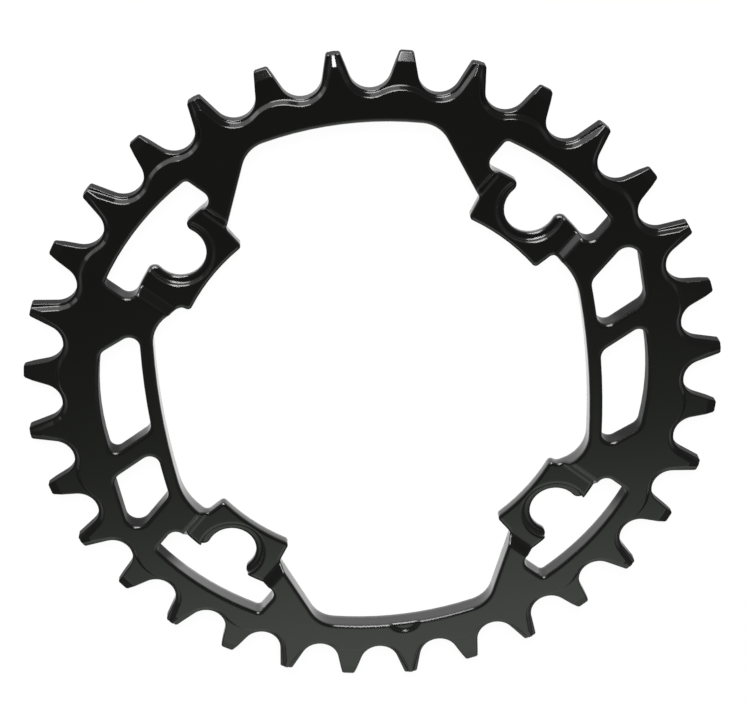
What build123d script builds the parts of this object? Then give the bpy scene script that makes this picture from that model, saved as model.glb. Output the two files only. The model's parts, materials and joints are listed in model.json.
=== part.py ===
from build123d import *
from math import cos, hypot, radians, sin, sqrt, tan
import os

os.makedirs("parts", exist_ok=True)

# A one-piece chainring cut from plate. It lies on its back face, with the ring's axis on Z.
# Wide and narrow teeth follow each other, to fill the wide and narrow links of a chain.

# Chain and teeth
wide_teeth = 16
chain_pitch = 12.7
seat_radius = 4.0
flank_angle = 15.2
tip_height = 3.21
tip_break = 0.25

# Levels
plate = 3.6
narrow_thickness = 2.0

# Thick layer: wide teeth, and a bevelled edge that runs under the narrow teeth
ledge = 0.4
wide_flank_angle = 18.5
crest_drop = 2.9
bevel_width = 0.7

# Sloping facets on the tooth tips
narrow_facet_length = 1.8
narrow_facet_angle = 12.5
wide_facet_length = 2.15
wide_facet_angle = 15.5

# Central opening, placed from the tooth roots by the depth of the rim
rim_depth = 5.77
opening_top_arc = 65.0
opening_top_corner = 6.0
side_inset = 5.13
opening_side_arc = 155.0
edge_break = 0.2

# Bolt tabs, thinner than the plate and flush with its back
bolt_inset = 13.785
bolt_hole_radius = 5.0
tab_count = 4
tab_reach = 7.55
tab_half_angle = 12.1
tab_thickness = 2.0
tab_corner = 0.8
tab_floor_half_width = 9.6
tab_ramp_width = 1.4
counterbore_radius = 6.45
counterbore_floor = 1.05

# Roots beside a tab: an upper one, and a lower one that is deep or shallow by turns
upper_root_depth = 4.61
upper_root_lean = 21.6
upper_root_round = 1.5
deep_root_depth = 4.5
deep_root_slope = 49.0
deep_root_round = 1.2
deep_side_corner = 14.0
shallow_root_depth = 1.7
shallow_root_slope = 14.0
shallow_root_round = 1.2
shallow_side_corner = 7.0

# Windows between the bolt tabs and the rim
tab_rim_depth = 4.3
tab_neck = 3.05
tab_window_half_width = 13.1
tab_window_outer_corner = 1.0
tab_window_inner_corner = 2.0
horn_round = 1.5

# A larger and a smaller window on each side, with a slanting spoke between them
rail_width = 2.55
spoke_height = 4.7
spoke_angle = 29.0
spoke_width = 3.9
large_window_rim = 7.135
large_window_drop = 18.76
large_window_angle = 24.7
small_window_rim = 5.88
small_window_lean = 4.9
small_window_rise = 18.7
small_window_angle = 45.0
small_window_top_corner = 2.5
acute_corner = 2.0
spoke_tip_corner = 1.5
obtuse_corner = 2.5

# Shallow mark on the inner edge of the lower rim
mark_radius = 3.3
mark_reach = 2.0
mark_depth = 0.3

# How near two places are to count as one
match = 0.01

# Worked-out sizes
step = 180 / wide_teeth
pitch_radius = chain_pitch / 2 / sin(radians(step / 2))
root_radius = pitch_radius - seat_radius
tip_radius = pitch_radius + tip_height
reach = tip_radius + tip_height
middle = plate / 2
ledge_level = middle + narrow_thickness / 2
opening_top = root_radius - rim_depth
bolt_radius = root_radius - bolt_inset
tab_inner_radius = bolt_radius - tab_reach
tab_window_outer = root_radius - tab_rim_depth
tab_window_inner = bolt_radius + tab_neck
opening_side = bolt_radius - side_inset
rail_edge = opening_side + rail_width


def polar(radius, angle):
    """Point at a radius and an angle in degrees."""
    return Vector(radius * cos(radians(angle)), radius * sin(radians(angle)))


def flipped(point):
    """Mirror image of a point across the X axis."""
    return Vector(point.X, -point.Y)


def radius_of(vertex):
    """Distance of a vertex from the ring's axis."""
    return hypot(vertex.X, vertex.Y)


def at_radius(vertices, radius):
    """The vertices that lie at a radius."""
    return vertices.filter_by(lambda v: abs(radius_of(v) - radius) < match)


def beyond_tabs(vertices):
    """The vertices on either side that lie further out than the tabs reach in."""
    return vertices.filter_by(lambda v: abs(v.X) > tab_inner_radius)


def trim(point, angle, side):
    """Cut a sketch along the line through a point at an angle, on its left (MIN) or right (MAX) side."""
    with Locations(Location(Vector(point), angle)):
        Rectangle(4 * reach, 2 * reach, align=(Align.CENTER, side), mode=Mode.SUBTRACT)


def round_corners(window, radii):
    """Round a window's corners, taken from the lowest to the highest."""
    corners = window.vertices().sort_by(Axis.Y)
    for corner, radius in zip(corners, radii):
        fillet(window.vertices().sort_by_distance(corner)[0], radius)


def flank_end(foot, angle):
    """Where a flank that leaves its foot at an angle passes the tips."""
    return Vector(reach, foot.Y + (reach - foot.X) * tan(radians(angle)))


# Gap between two teeth: a roller seat with a straight flank on each side, along X.
seat_open = flank_angle + step / 2
seat_foot = Vector(pitch_radius, 0) + polar(seat_radius, 90 + seat_open)
seat_end = flank_end(seat_foot, seat_open)
with BuildSketch() as gap:
    with BuildLine():
        Line(seat_foot, seat_end)
        Line(seat_end, flipped(seat_end))
        Line(flipped(seat_end), flipped(seat_foot))
        ThreePointArc(flipped(seat_foot), (root_radius, 0), seat_foot)
    make_face()

# Clearing over a narrow tooth, along X: two seats joined by a crest, up to the wide teeth.
clear_radius = seat_radius + ledge
clear_centre = polar(pitch_radius, step / 2)
clear_open = wide_flank_angle + step
crest_radius = pitch_radius - crest_drop
crest_rise = clear_centre.X - crest_radius
crest_arc = (clear_centre.Y**2 + crest_rise**2 - clear_radius**2) / (2 * (clear_radius - crest_rise))
crest_centre = Vector(crest_radius - crest_arc, 0)
crest_reach = clear_centre - crest_centre


def clearing(margin):
    """Outline of the clearing, made larger all round by a margin."""
    crest_end = crest_centre + crest_reach.normalized() * (crest_arc - margin)
    floor = clear_centre + polar(clear_radius + margin, 180 + step / 2)
    foot = clear_centre + polar(clear_radius + margin, 90 + clear_open)
    end = flank_end(foot, clear_open)
    with BuildSketch() as outline:
        with BuildLine():
            ThreePointArc(flipped(crest_end), (crest_radius - margin, 0), crest_end)
            ThreePointArc(crest_end, floor, foot)
            Line(foot, end)
            Line(end, flipped(end))
            Line(flipped(end), flipped(foot))
            ThreePointArc(flipped(foot), flipped(floor), flipped(crest_end))
        make_face()
    return outline.sketch


def facet(length, angle, level):
    """Section of what a tip facet takes off below a level, with the radius along X."""
    start = tip_radius - length
    low = level - (reach - start) * tan(radians(angle))
    with BuildSketch() as section:
        with BuildLine():
            Polyline((start, level), (reach, level), (reach, low), close=True)
        make_face()
    return section.sketch


def shoulder(root_depth, root_slope):
    """Bolt tab at 45 degrees with its shoulders. Its lower root has a depth and a slope."""
    upper_root = polar(tab_inner_radius + upper_root_depth, 45 + tab_half_angle)
    lower_root = polar(tab_inner_radius + root_depth, 45 - tab_half_angle)
    upper_end = upper_root + polar(opening_top / 2, 90 + upper_root_lean)
    lower_end = lower_root + polar(opening_top / 2, -root_slope)
    upper_corner = polar(tab_inner_radius, 45 + tab_half_angle)
    lower_corner = polar(tab_inner_radius, 45 - tab_half_angle)
    with BuildSketch() as outline:
        with BuildLine():
            Polyline(upper_corner, upper_root, upper_end, (reach, reach), lower_end, lower_root, lower_corner)
            ThreePointArc(lower_corner, polar(tab_inner_radius, 45), upper_corner)
        make_face()
    return outline.sketch


# Central opening: four long arcs, less the tabs. Its two halves are alike by a half turn.
with BuildSketch() as opening:
    with Locations((0, opening_top - opening_top_arc)):
        Circle(opening_top_arc)
    with Locations((0, opening_top_arc - opening_top)):
        Circle(opening_top_arc, mode=Mode.INTERSECT)
    with Locations((opening_side - opening_side_arc, 0)):
        Circle(opening_side_arc, mode=Mode.INTERSECT)
    with Locations((opening_side_arc - opening_side, 0)):
        Circle(opening_side_arc, mode=Mode.INTERSECT)
    deep_shoulder = shoulder(deep_root_depth, deep_root_slope)
    shallow_shoulder = shoulder(shallow_root_depth, shallow_root_slope).mirror(Plane.YZ)
    with PolarLocations(0, 2):
        add(deep_shoulder, mode=Mode.SUBTRACT)
        add(shallow_shoulder, mode=Mode.SUBTRACT)
    fillet(at_radius(opening.vertices(), tab_inner_radius), tab_corner)
    fillet(at_radius(opening.vertices(), tab_inner_radius + upper_root_depth), upper_root_round)
    fillet(at_radius(opening.vertices(), tab_inner_radius + deep_root_depth), deep_root_round)
    fillet(at_radius(opening.vertices(), tab_inner_radius + shallow_root_depth), shallow_root_round)
    top_corners = opening.vertices().filter_by(lambda v: abs(v.Y) > opening_side)
    fillet(top_corners, opening_top_corner)
    deep_corners = beyond_tabs(opening.vertices()).filter_by(lambda v: v.X * v.Y > 0)
    fillet(deep_corners, deep_side_corner)
    shallow_corners = beyond_tabs(opening.vertices()).filter_by(lambda v: v.X * v.Y < 0)
    fillet(shallow_corners, shallow_side_corner)

# Window outside a bolt tab, along X, joined to the bolt hole, which is open towards it.
outer_end = Vector(sqrt(tab_window_outer**2 - tab_window_half_width**2), tab_window_half_width)
inner_end = Vector(sqrt(tab_window_inner**2 - tab_window_half_width**2), tab_window_half_width)
with BuildSketch() as tab_window:
    with BuildLine():
        ThreePointArc(outer_end, (tab_window_outer, 0), flipped(outer_end))
        Line(flipped(outer_end), flipped(inner_end))
        ThreePointArc(flipped(inner_end), (tab_window_inner, 0), inner_end)
        Line(inner_end, outer_end)
    make_face()
    outer_corners = at_radius(tab_window.vertices(), tab_window_outer)
    fillet(outer_corners, tab_window_outer_corner)
    inner_corners = at_radius(tab_window.vertices(), tab_window_inner)
    fillet(inner_corners, tab_window_inner_corner)
    with Locations((bolt_radius, 0)):
        Circle(bolt_hole_radius)
    horns = tab_window.vertices().filter_by(lambda v: abs(v.Y) < bolt_hole_radius)
    fillet(horns, horn_round)

# Side windows on the +X side, beside the rail, each trimmed along straight lines
spoke_middle = Vector(rail_edge, spoke_height)
spoke_side = polar(spoke_width / 2, 90 + spoke_angle)
with BuildSketch() as large_window:
    Circle(root_radius - large_window_rim)
    with Locations((opening_side - opening_side_arc, 0)):
        Circle(opening_side_arc + rail_width, mode=Mode.SUBTRACT)
    trim(spoke_middle - spoke_side, spoke_angle, Align.MIN)
    trim((rail_edge, -large_window_drop), large_window_angle, Align.MAX)
    round_corners(large_window, (acute_corner, obtuse_corner, obtuse_corner, spoke_tip_corner))

with BuildSketch() as small_window:
    Circle(tip_radius)
    with Locations((opening_side - opening_side_arc, 0)):
        Circle(opening_side_arc + rail_width, mode=Mode.SUBTRACT)
    trim(spoke_middle + spoke_side, spoke_angle, Align.MAX)
    trim((root_radius - small_window_rim, 0), 90 + small_window_lean, Align.MAX)
    trim((rail_edge, small_window_rise), small_window_angle, Align.MIN)
    round_corners(small_window, (acute_corner, obtuse_corner, obtuse_corner, small_window_top_corner))

# Section of a tab recess across the tab, above the tab's thickness
recess_top = tab_floor_half_width + 2 * tab_ramp_width
recess_height = tab_thickness + 2 * (plate - tab_thickness)
tab_recess = (
    (-tab_floor_half_width, tab_thickness),
    (tab_floor_half_width, tab_thickness),
    (recess_top, recess_height),
    (-recess_top, recess_height),
)

# Toothed outline of the narrow layer
with BuildSketch() as teeth:
    Circle(tip_radius)
    with PolarLocations(0, 2 * wide_teeth, step / 2):
        add(gap.sketch, mode=Mode.SUBTRACT)
    chamfer(at_radius(teeth.vertices(), tip_radius), tip_break)

with BuildPart() as chainring:
    # Front half of the toothed plate, from its middle plane
    with BuildSketch(Plane.XY.offset(middle)):
        add(teeth.sketch)
    extrude(amount=plate - middle)

    # Bevelled clearings round the narrow teeth
    with BuildSketch(Plane.XY.offset(ledge_level)):
        add(clearing(0))
    with BuildSketch(Plane.XY.offset(plate)):
        add(clearing(bevel_width))
    bevelled_clearing = loft(ruled=True, mode=Mode.PRIVATE)
    with PolarLocations(0, wide_teeth, step):
        add(bevelled_clearing, mode=Mode.SUBTRACT)

    # Tip facets
    with BuildSketch(Plane.XZ.rotated((0, 0, step / 2))):
        add(facet(narrow_facet_length, narrow_facet_angle, ledge_level))
    narrow_facet = revolve(axis=Axis.Z, revolution_arc=step, mode=Mode.PRIVATE)
    with PolarLocations(0, wide_teeth):
        add(narrow_facet, mode=Mode.SUBTRACT)
    with BuildSketch(Plane.XZ):
        add(facet(wide_facet_length, wide_facet_angle, plate))
    revolve(axis=Axis.Z, mode=Mode.SUBTRACT)
    mirror(about=Plane.XY.offset(middle))

    # Openings, with their front edges broken
    with BuildSketch():
        add(opening.sketch)
        with PolarLocations(0, tab_count, 180 / tab_count):
            add(tab_window.sketch)
        with PolarLocations(0, 2):
            add(large_window.sketch)
            add(small_window.sketch)
    extrude(amount=plate, mode=Mode.SUBTRACT)
    front = chainring.faces().sort_by(Axis.Z)[-1]
    chamfer(front.inner_wires().edges(), edge_break)

    # Bolt tabs: a recess with sloping sides, and a counterbore round each bolt hole
    for tab in range(tab_count):
        turn = (2 * tab + 1) * 180 / tab_count
        with BuildSketch(Plane.YZ.rotated((0, 0, turn)).offset(tab_inner_radius / 2)):
            with BuildLine():
                Polyline(*tab_recess, close=True)
            make_face()
        extrude(amount=tab_window_inner + horn_round - tab_inner_radius / 2, mode=Mode.SUBTRACT)
    with BuildSketch(Plane.XY.offset(counterbore_floor)):
        with PolarLocations(bolt_radius, tab_count, 180 / tab_count):
            Circle(counterbore_radius)
    extrude(amount=plate, mode=Mode.SUBTRACT)

    # Mark on the lower rim
    with BuildSketch(Plane.XY.offset(plate - mark_depth)):
        with Locations((0, mark_radius - opening_top - mark_reach)):
            Circle(mark_radius)
    extrude(amount=plate, mode=Mode.SUBTRACT)

chainring.part.label = "chainring"
export_step(chainring.part, "parts/chainring.step")
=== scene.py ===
import json
from math import cos, radians, sin

import bpy
from mathutils import Matrix, Vector

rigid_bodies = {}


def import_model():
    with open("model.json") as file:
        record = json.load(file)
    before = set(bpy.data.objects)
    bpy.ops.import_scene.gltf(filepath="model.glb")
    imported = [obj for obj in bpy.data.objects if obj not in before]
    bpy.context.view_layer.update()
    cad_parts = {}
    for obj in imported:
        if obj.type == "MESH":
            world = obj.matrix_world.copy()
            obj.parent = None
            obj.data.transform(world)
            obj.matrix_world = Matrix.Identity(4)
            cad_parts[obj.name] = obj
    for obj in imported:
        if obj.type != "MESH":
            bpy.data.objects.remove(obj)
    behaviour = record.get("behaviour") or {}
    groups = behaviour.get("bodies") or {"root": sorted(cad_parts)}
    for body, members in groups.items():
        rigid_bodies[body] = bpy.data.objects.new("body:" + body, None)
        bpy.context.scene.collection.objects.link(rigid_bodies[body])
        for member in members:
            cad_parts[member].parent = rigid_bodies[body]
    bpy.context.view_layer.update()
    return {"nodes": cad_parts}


# Looks of a gloss black chainring that lies on its back on a white table,
# seen from the photograph's angle. Lengths are metres, in the part's own frame.

# Camera: its turn in degrees, its focal length and image in pixels, its sensor in millimetres
camera_place = Vector((0.00124, 0.15835, 0.30645))
camera_aim = Vector((0.00049, 0.00700, 0.0))
camera_turn = 6.44
camera_near = 0.001
image_width = 746
focal_length = 1751.3
sensor = 36.0

# Table: how white it looks, and the dim paint that takes the ring's shadow
table_size = 6.0
table_gap = 0.00002
table_glow = 0.95
table_colour = (0.08, 0.08, 0.08, 1.0)

# Painted pools of light on the table that only reflections show, as painted reflections on the
# ring's walls and edges:
# middle, half sizes, how far they fade as a share of those, brightness
painted_pools = (
    ((-0.001, 0.0), (0.0425, 0.056), 0.20, 0.88),
    ((-0.036, -0.042), (0.009, 0.009), 0.55, 1.0),
    ((0.036, -0.042), (0.010, 0.010), 0.55, 0.62),
)
# Painted shade: brightness of the rest of the table in reflections, away from the painted
# pools
painted_table_floor = 0.15

# Colours of the ring: its body, its faded spots and its rubbed edges
black = (0.002, 0.002, 0.002, 1.0)
faded = (0.004, 0.004, 0.0035, 1.0)
rubbed = (0.02, 0.02, 0.02, 1.0)

# Edges that the shading softens: their radius at the teeth and inside them,
# and the distance from the ring's middle where each begins to hold
tooth_edge = 0.00035
inner_edge = 0.0010
tooth_reach = 0.060
inner_reach = 0.057
edge_samples = 16
# Cosine of the bend at which an edge is fully rubbed
wear_limit = 0.7

# Skin: refraction of the body and of the clear coat, sheen, smudges and fine grain
refraction = 1.5
sheen_roughness = 0.13
sheen_spread = 0.03
smudge_scale = 70.0
smudge_detail = 3.0
grain_scale = 900.0
grain_detail = 4.0
grain_strength = 0.02
grain_height = 0.00005

# Studio light: name, place, width, height, watts
panels = (
    ("window", Vector((-0.072, 0.201, 0.048)), 0.233, 0.071, 0.052),
    ("low window", Vector((-0.283, 0.2, 0.021)), 0.175, 0.042, 0.0208),
    ("softbox", Vector((0.02, 0.53, 0.45)), 0.42, 0.36, 4.4),
    ("lamp", Vector((0.024, 0.210, 0.64)), 0.126, 0.115, 0.72),
)

# Room: brightness by the Y of the direction looked in
room_levels = (
    (-1.0, 0.46), (-0.84, 0.48), (-0.79, 0.55), (-0.65, 0.62), (-0.61, 0.72),
    (-0.58, 0.72), (-0.557, 0.56), (-0.536, 0.39), (-0.496, 0.17), (-0.46, 0.115),
    (-0.40, 0.065), (0.0, 0.05), (0.8, 0.08), (1.0, 0.3),
)
room_tint = (0.975, 1.055, 0.94)
# Plain sides of the room, blended in between these X of the direction to either side
room_side_start = 0.22
room_side_end = 0.42
room_side = (0.09, 0.09, 0.09, 1.0)

# Sockets of Blender's Mix node when it mixes colours
mix_amount, mix_first, mix_second, mix_result = 0, 6, 7, 2


def value(node, name, new):
    """Set an input of a shader node."""
    node.inputs[name].default_value = new


def feed(owner, socket, source):
    """Give a socket a plain value, or link it to the output of a node."""
    if isinstance(source, bpy.types.NodeSocket):
        owner.node_tree.links.new(source, socket)
    else:
        socket.default_value = source


def mix_colours(owner, amount, first, second):
    """A colour between two others, each a plain colour or the output of a node."""
    mix = owner.node_tree.nodes.new("ShaderNodeMix")
    mix.data_type = "RGBA"
    feed(owner, mix.inputs[mix_amount], amount)
    feed(owner, mix.inputs[mix_first], first)
    feed(owner, mix.inputs[mix_second], second)
    return mix.outputs[mix_result]


def calculate(owner, operation, *terms):
    """A sum on plain numbers or the outputs of nodes."""
    node = owner.node_tree.nodes.new("ShaderNodeMath")
    node.operation = operation
    for socket, term in zip(node.inputs, terms):
        feed(owner, socket, term)
    return node.outputs[0]


def measure(owner, operation, *vectors):
    """A number that is taken from one or two vectors."""
    node = owner.node_tree.nodes.new("ShaderNodeVectorMath")
    node.operation = operation
    for socket, vector in zip(node.inputs, vectors):
        feed(owner, socket, vector)
    return node.outputs["Value"]


def carry_over(owner, source, old_ends, new_ends=(0.0, 1.0)):
    """A number moved from one range to another, and held within it."""
    node = owner.node_tree.nodes.new("ShaderNodeMapRange")
    names = ("From Min", "From Max", "To Min", "To Max")
    for name, end in zip(names, (*old_ends, *new_ends)):
        value(node, name, end)
    feed(owner, node.inputs["Value"], source)
    return node.outputs["Result"]


def noise(owner, place, scale, detail):
    """A noise texture, from 0 to 1."""
    node = owner.node_tree.nodes.new("ShaderNodeTexNoise")
    value(node, "Scale", scale)
    value(node, "Detail", detail)
    feed(owner, node.inputs["Vector"], place)
    return node.outputs["Fac"]


def new_material(name):
    """An empty node material and its output."""
    material = bpy.data.materials.new(name)
    material.use_nodes = True
    material.node_tree.nodes.clear()
    output = material.node_tree.nodes.new("ShaderNodeOutputMaterial")
    return material, output


def anodised_black():
    """Gloss black: a dark body under a clear coat, with a fine grain and soft rubbed edges."""
    material, output = new_material("anodised_black")
    nodes, link = material.node_tree.nodes, material.node_tree.links.new
    place = nodes.new("ShaderNodeTexCoord").outputs["Object"]
    smudges = noise(material, place, smudge_scale, smudge_detail)
    grain = noise(material, place, grain_scale, grain_detail)

    edges = nodes.new("ShaderNodeBevel")
    edges.samples = edge_samples
    reach = measure(material, "LENGTH", place)
    radius = carry_over(material, reach, (inner_reach, tooth_reach), (inner_edge, tooth_edge))
    link(radius, edges.inputs["Radius"])
    bump = nodes.new("ShaderNodeBump")
    value(bump, "Strength", grain_strength)
    value(bump, "Distance", grain_height)
    link(grain, bump.inputs["Height"])
    link(edges.outputs["Normal"], bump.inputs["Normal"])

    flat = nodes.new("ShaderNodeNewGeometry")
    bend = measure(material, "DOT_PRODUCT", flat.outputs["Normal"], edges.outputs["Normal"])
    wear = carry_over(material, bend, (1.0, wear_limit))
    tone = mix_colours(material, smudges, black, faded)
    worn_tone = mix_colours(material, wear, tone, rubbed)
    sheen_ends = (sheen_roughness - sheen_spread, sheen_roughness + sheen_spread)
    roughness = carry_over(material, smudges, (0.0, 1.0), sheen_ends)

    skin = nodes.new("ShaderNodeBsdfPrincipled")
    value(skin, "IOR", refraction)
    value(skin, "Coat Weight", 1.0)
    value(skin, "Coat Roughness", sheen_roughness)
    value(skin, "Coat IOR", refraction)
    link(worn_tone, skin.inputs["Base Color"])
    link(roughness, skin.inputs["Roughness"])
    link(bump.outputs["Normal"], skin.inputs["Normal"])
    link(bump.outputs["Normal"], skin.inputs["Coat Normal"])
    link(skin.outputs["BSDF"], output.inputs["Surface"])
    return material


def white_table():
    """White to the eye, with painted pools of light and painted shade that only reflections
    show, and the ring's shadow on its paint.
    """
    material, output = new_material("white_table")
    nodes, link = material.node_tree.nodes, material.node_tree.links.new
    path = nodes.new("ShaderNodeLightPath")
    place = nodes.new("ShaderNodeTexCoord").outputs["Object"]
    painted_brightest = painted_table_floor
    # Painted light: each pool brightens the table's glow in reflections, over a dimmer painted
    # shade elsewhere.
    for middle, half, fade, level in painted_pools:
        oval = nodes.new("ShaderNodeMapping")
        value(oval, "Location", (-middle[0] / half[0], -middle[1] / half[1], 0.0))
        value(oval, "Scale", (1 / half[0], 1 / half[1], 0.0))
        link(place, oval.inputs["Vector"])
        reach = measure(material, "LENGTH", oval.outputs["Vector"])
        painted_pool_glow = carry_over(material, reach, (1.0, 1.0 + fade), (level, 0.0))
        painted_brightest = calculate(material, "MAXIMUM", painted_pool_glow, painted_brightest)
    # Reflections show the painted pools and painted shade; the camera sees the table evenly
    # white.
    painted_reflection = calculate(material, "MULTIPLY", path.outputs["Is Glossy Ray"], painted_brightest)
    seen = calculate(material, "MAXIMUM", path.outputs["Is Camera Ray"], painted_reflection)
    seen = calculate(material, "MAXIMUM", path.outputs["Is Transmission Ray"], seen)
    glow = nodes.new("ShaderNodeEmission")
    link(calculate(material, "MULTIPLY", seen, table_glow), glow.inputs["Strength"])
    paint = nodes.new("ShaderNodeBsdfDiffuse")
    value(paint, "Color", table_colour)
    both = nodes.new("ShaderNodeAddShader")
    link(glow.outputs[0], both.inputs[0])
    link(paint.outputs[0], both.inputs[1])
    link(both.outputs[0], output.inputs["Surface"])
    return material


def add_table():
    """A wide flat table just under the ring."""
    half = table_size / 2
    corners = [(-half, -half, 0), (half, -half, 0), (half, half, 0), (-half, half, 0)]
    mesh = bpy.data.meshes.new("table")
    mesh.from_pydata(corners, [], [(0, 1, 2, 3)])
    mesh.materials.append(white_table())
    table = bpy.data.objects.new("table", mesh)
    table.location.z = -table_gap
    bpy.context.scene.collection.objects.link(table)


def add_panel(name, place, width, height, power):
    """A soft rectangular light that faces the ring."""
    light = bpy.data.lights.new(name, "AREA")
    light.shape = "RECTANGLE"
    light.size = width
    light.size_y = height
    light.energy = power
    panel = bpy.data.objects.new(name, light)
    panel.location = place
    panel.rotation_euler = (-place).to_track_quat("-Z", "Y").to_euler()
    bpy.context.scene.collection.objects.link(panel)


def ramp_place(y):
    """Where the Y of a direction, from -1 to 1, lies on a colour ramp."""
    return (y + 1) / 2


def add_room():
    """A room whose brightness goes by the Y of the direction, with plain sides."""
    world = bpy.data.worlds.new("room")
    bpy.context.scene.world = world
    world.use_nodes = True
    nodes, link = world.node_tree.nodes, world.node_tree.links.new
    nodes.clear()
    output = nodes.new("ShaderNodeOutputWorld")
    sky = nodes.new("ShaderNodeBackground")
    direction = nodes.new("ShaderNodeTexCoord")
    axes = nodes.new("ShaderNodeSeparateXYZ")
    link(direction.outputs["Generated"], axes.inputs[0])
    ramp = nodes.new("ShaderNodeValToRGB")
    stops = ramp.color_ramp.elements
    for y, level in room_levels[1:-1]:
        stops.new(ramp_place(y))
    for stop, (y, level) in zip(stops, room_levels):
        stop.position = ramp_place(y)
        stop.color = (*(level * part for part in room_tint), 1.0)
    link(carry_over(world, axes.outputs["Y"], (-1.0, 1.0)), ramp.inputs["Fac"])
    aside = calculate(world, "ABSOLUTE", axes.outputs["X"])
    sideways = carry_over(world, aside, (room_side_start, room_side_end))
    colour = mix_colours(world, sideways, ramp.outputs["Color"], room_side)
    link(colour, sky.inputs["Color"])
    link(sky.outputs[0], output.inputs["Surface"])


def add_camera():
    """The photograph's view. Its image-up points along +Y, turned clockwise by camera_turn."""
    data = bpy.data.cameras.new("camera")
    data.sensor_width = sensor
    data.lens = focal_length / image_width * sensor
    data.clip_start = camera_near
    camera = bpy.data.objects.new("camera", data)
    back = (camera_place - camera_aim).normalized()
    upward = Vector((sin(radians(camera_turn)), cos(radians(camera_turn)), 0.0))
    right = upward.cross(back).normalized()
    turn = Matrix((right, back.cross(right), back)).transposed()
    camera.matrix_world = Matrix.Translation(camera_place) @ turn.to_4x4()
    bpy.context.scene.collection.objects.link(camera)
    bpy.context.scene.camera = camera


for start_object in list(bpy.data.objects):
    bpy.data.objects.remove(start_object)
bpy.context.scene.view_settings.view_transform = "Standard"

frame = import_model()
ring = frame["nodes"]["chainring"]
ring.material_slots[0].material = anodised_black()

add_table()
for panel in panels:
    add_panel(*panel)
add_room()
add_camera()
